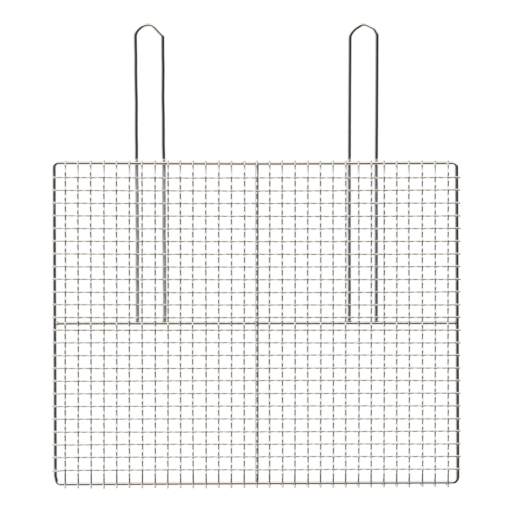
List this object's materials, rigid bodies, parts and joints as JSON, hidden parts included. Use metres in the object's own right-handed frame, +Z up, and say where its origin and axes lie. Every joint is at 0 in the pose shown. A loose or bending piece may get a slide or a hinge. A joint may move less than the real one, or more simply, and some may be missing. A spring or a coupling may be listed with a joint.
{
  "type": "grill net",
  "caption": "Flat rectangular grill net of crimped wire on a rod frame with centre bars and two long wire loop handles on one side, for cooking food over coals.",
  "frame": {"origin": "under the middle of the whole object, halfway between the front wire tips and the tops of the handle loops, on the plane of the lowest points of the handle legs", "axes": "+X across the net, +Y from the net towards the handle loops, +Z up, from the rods to the net"},
  "size_m": [0.386, 0.4398, 0.0152],
  "materials": {
    "net_wire": "bright drawn stainless wire",
    "frame_rod": "bright drawn stainless rod",
    "handle_rod": "bright drawn stainless rod"
  },
  "bodies": {
    "root": {"warp_wire_01": "net_wire", "warp_wire_02": "net_wire", "warp_wire_03": "net_wire", "warp_wire_04": "net_wire", "warp_wire_05": "net_wire", "warp_wire_06": "net_wire", "warp_wire_07": "net_wire", "warp_wire_08": "net_wire", "warp_wire_09": "net_wire", "warp_wire_10": "net_wire", "warp_wire_11": "net_wire", "warp_wire_12": "net_wire", "warp_wire_13": "net_wire", "warp_wire_14": "net_wire", "warp_wire_15": "net_wire", "warp_wire_16": "net_wire", "warp_wire_17": "net_wire", "warp_wire_18": "net_wire", "warp_wire_19": "net_wire", "warp_wire_20": "net_wire", "warp_wire_21": "net_wire", "warp_wire_22": "net_wire", "warp_wire_23": "net_wire", "warp_wire_24": "net_wire", "warp_wire_25": "net_wire", "warp_wire_26": "net_wire", "warp_wire_27": "net_wire", "warp_wire_28": "net_wire", "warp_wire_29": "net_wire", "warp_wire_30": "net_wire", "warp_wire_31": "net_wire", "weft_wire_01": "net_wire", "weft_wire_02": "net_wire", "weft_wire_03": "net_wire", "weft_wire_04": "net_wire", "weft_wire_05": "net_wire", "weft_wire_06": "net_wire", "weft_wire_07": "net_wire", "weft_wire_08": "net_wire", "weft_wire_09": "net_wire", "weft_wire_10": "net_wire", "weft_wire_11": "net_wire", "weft_wire_12": "net_wire", "weft_wire_13": "net_wire", "weft_wire_14": "net_wire", "weft_wire_15": "net_wire", "weft_wire_16": "net_wire", "weft_wire_17": "net_wire", "weft_wire_18": "net_wire", "weft_wire_19": "net_wire", "weft_wire_20": "net_wire", "weft_wire_21": "net_wire", "weft_wire_22": "net_wire", "weft_wire_23": "net_wire", "weft_wire_24": "net_wire", "rim_rod": "frame_rod", "spine_bar": "frame_rod", "cross_bar": "frame_rod", "left_handle": "handle_rod", "right_handle": "handle_rod"}
  },
  "joints": []
}
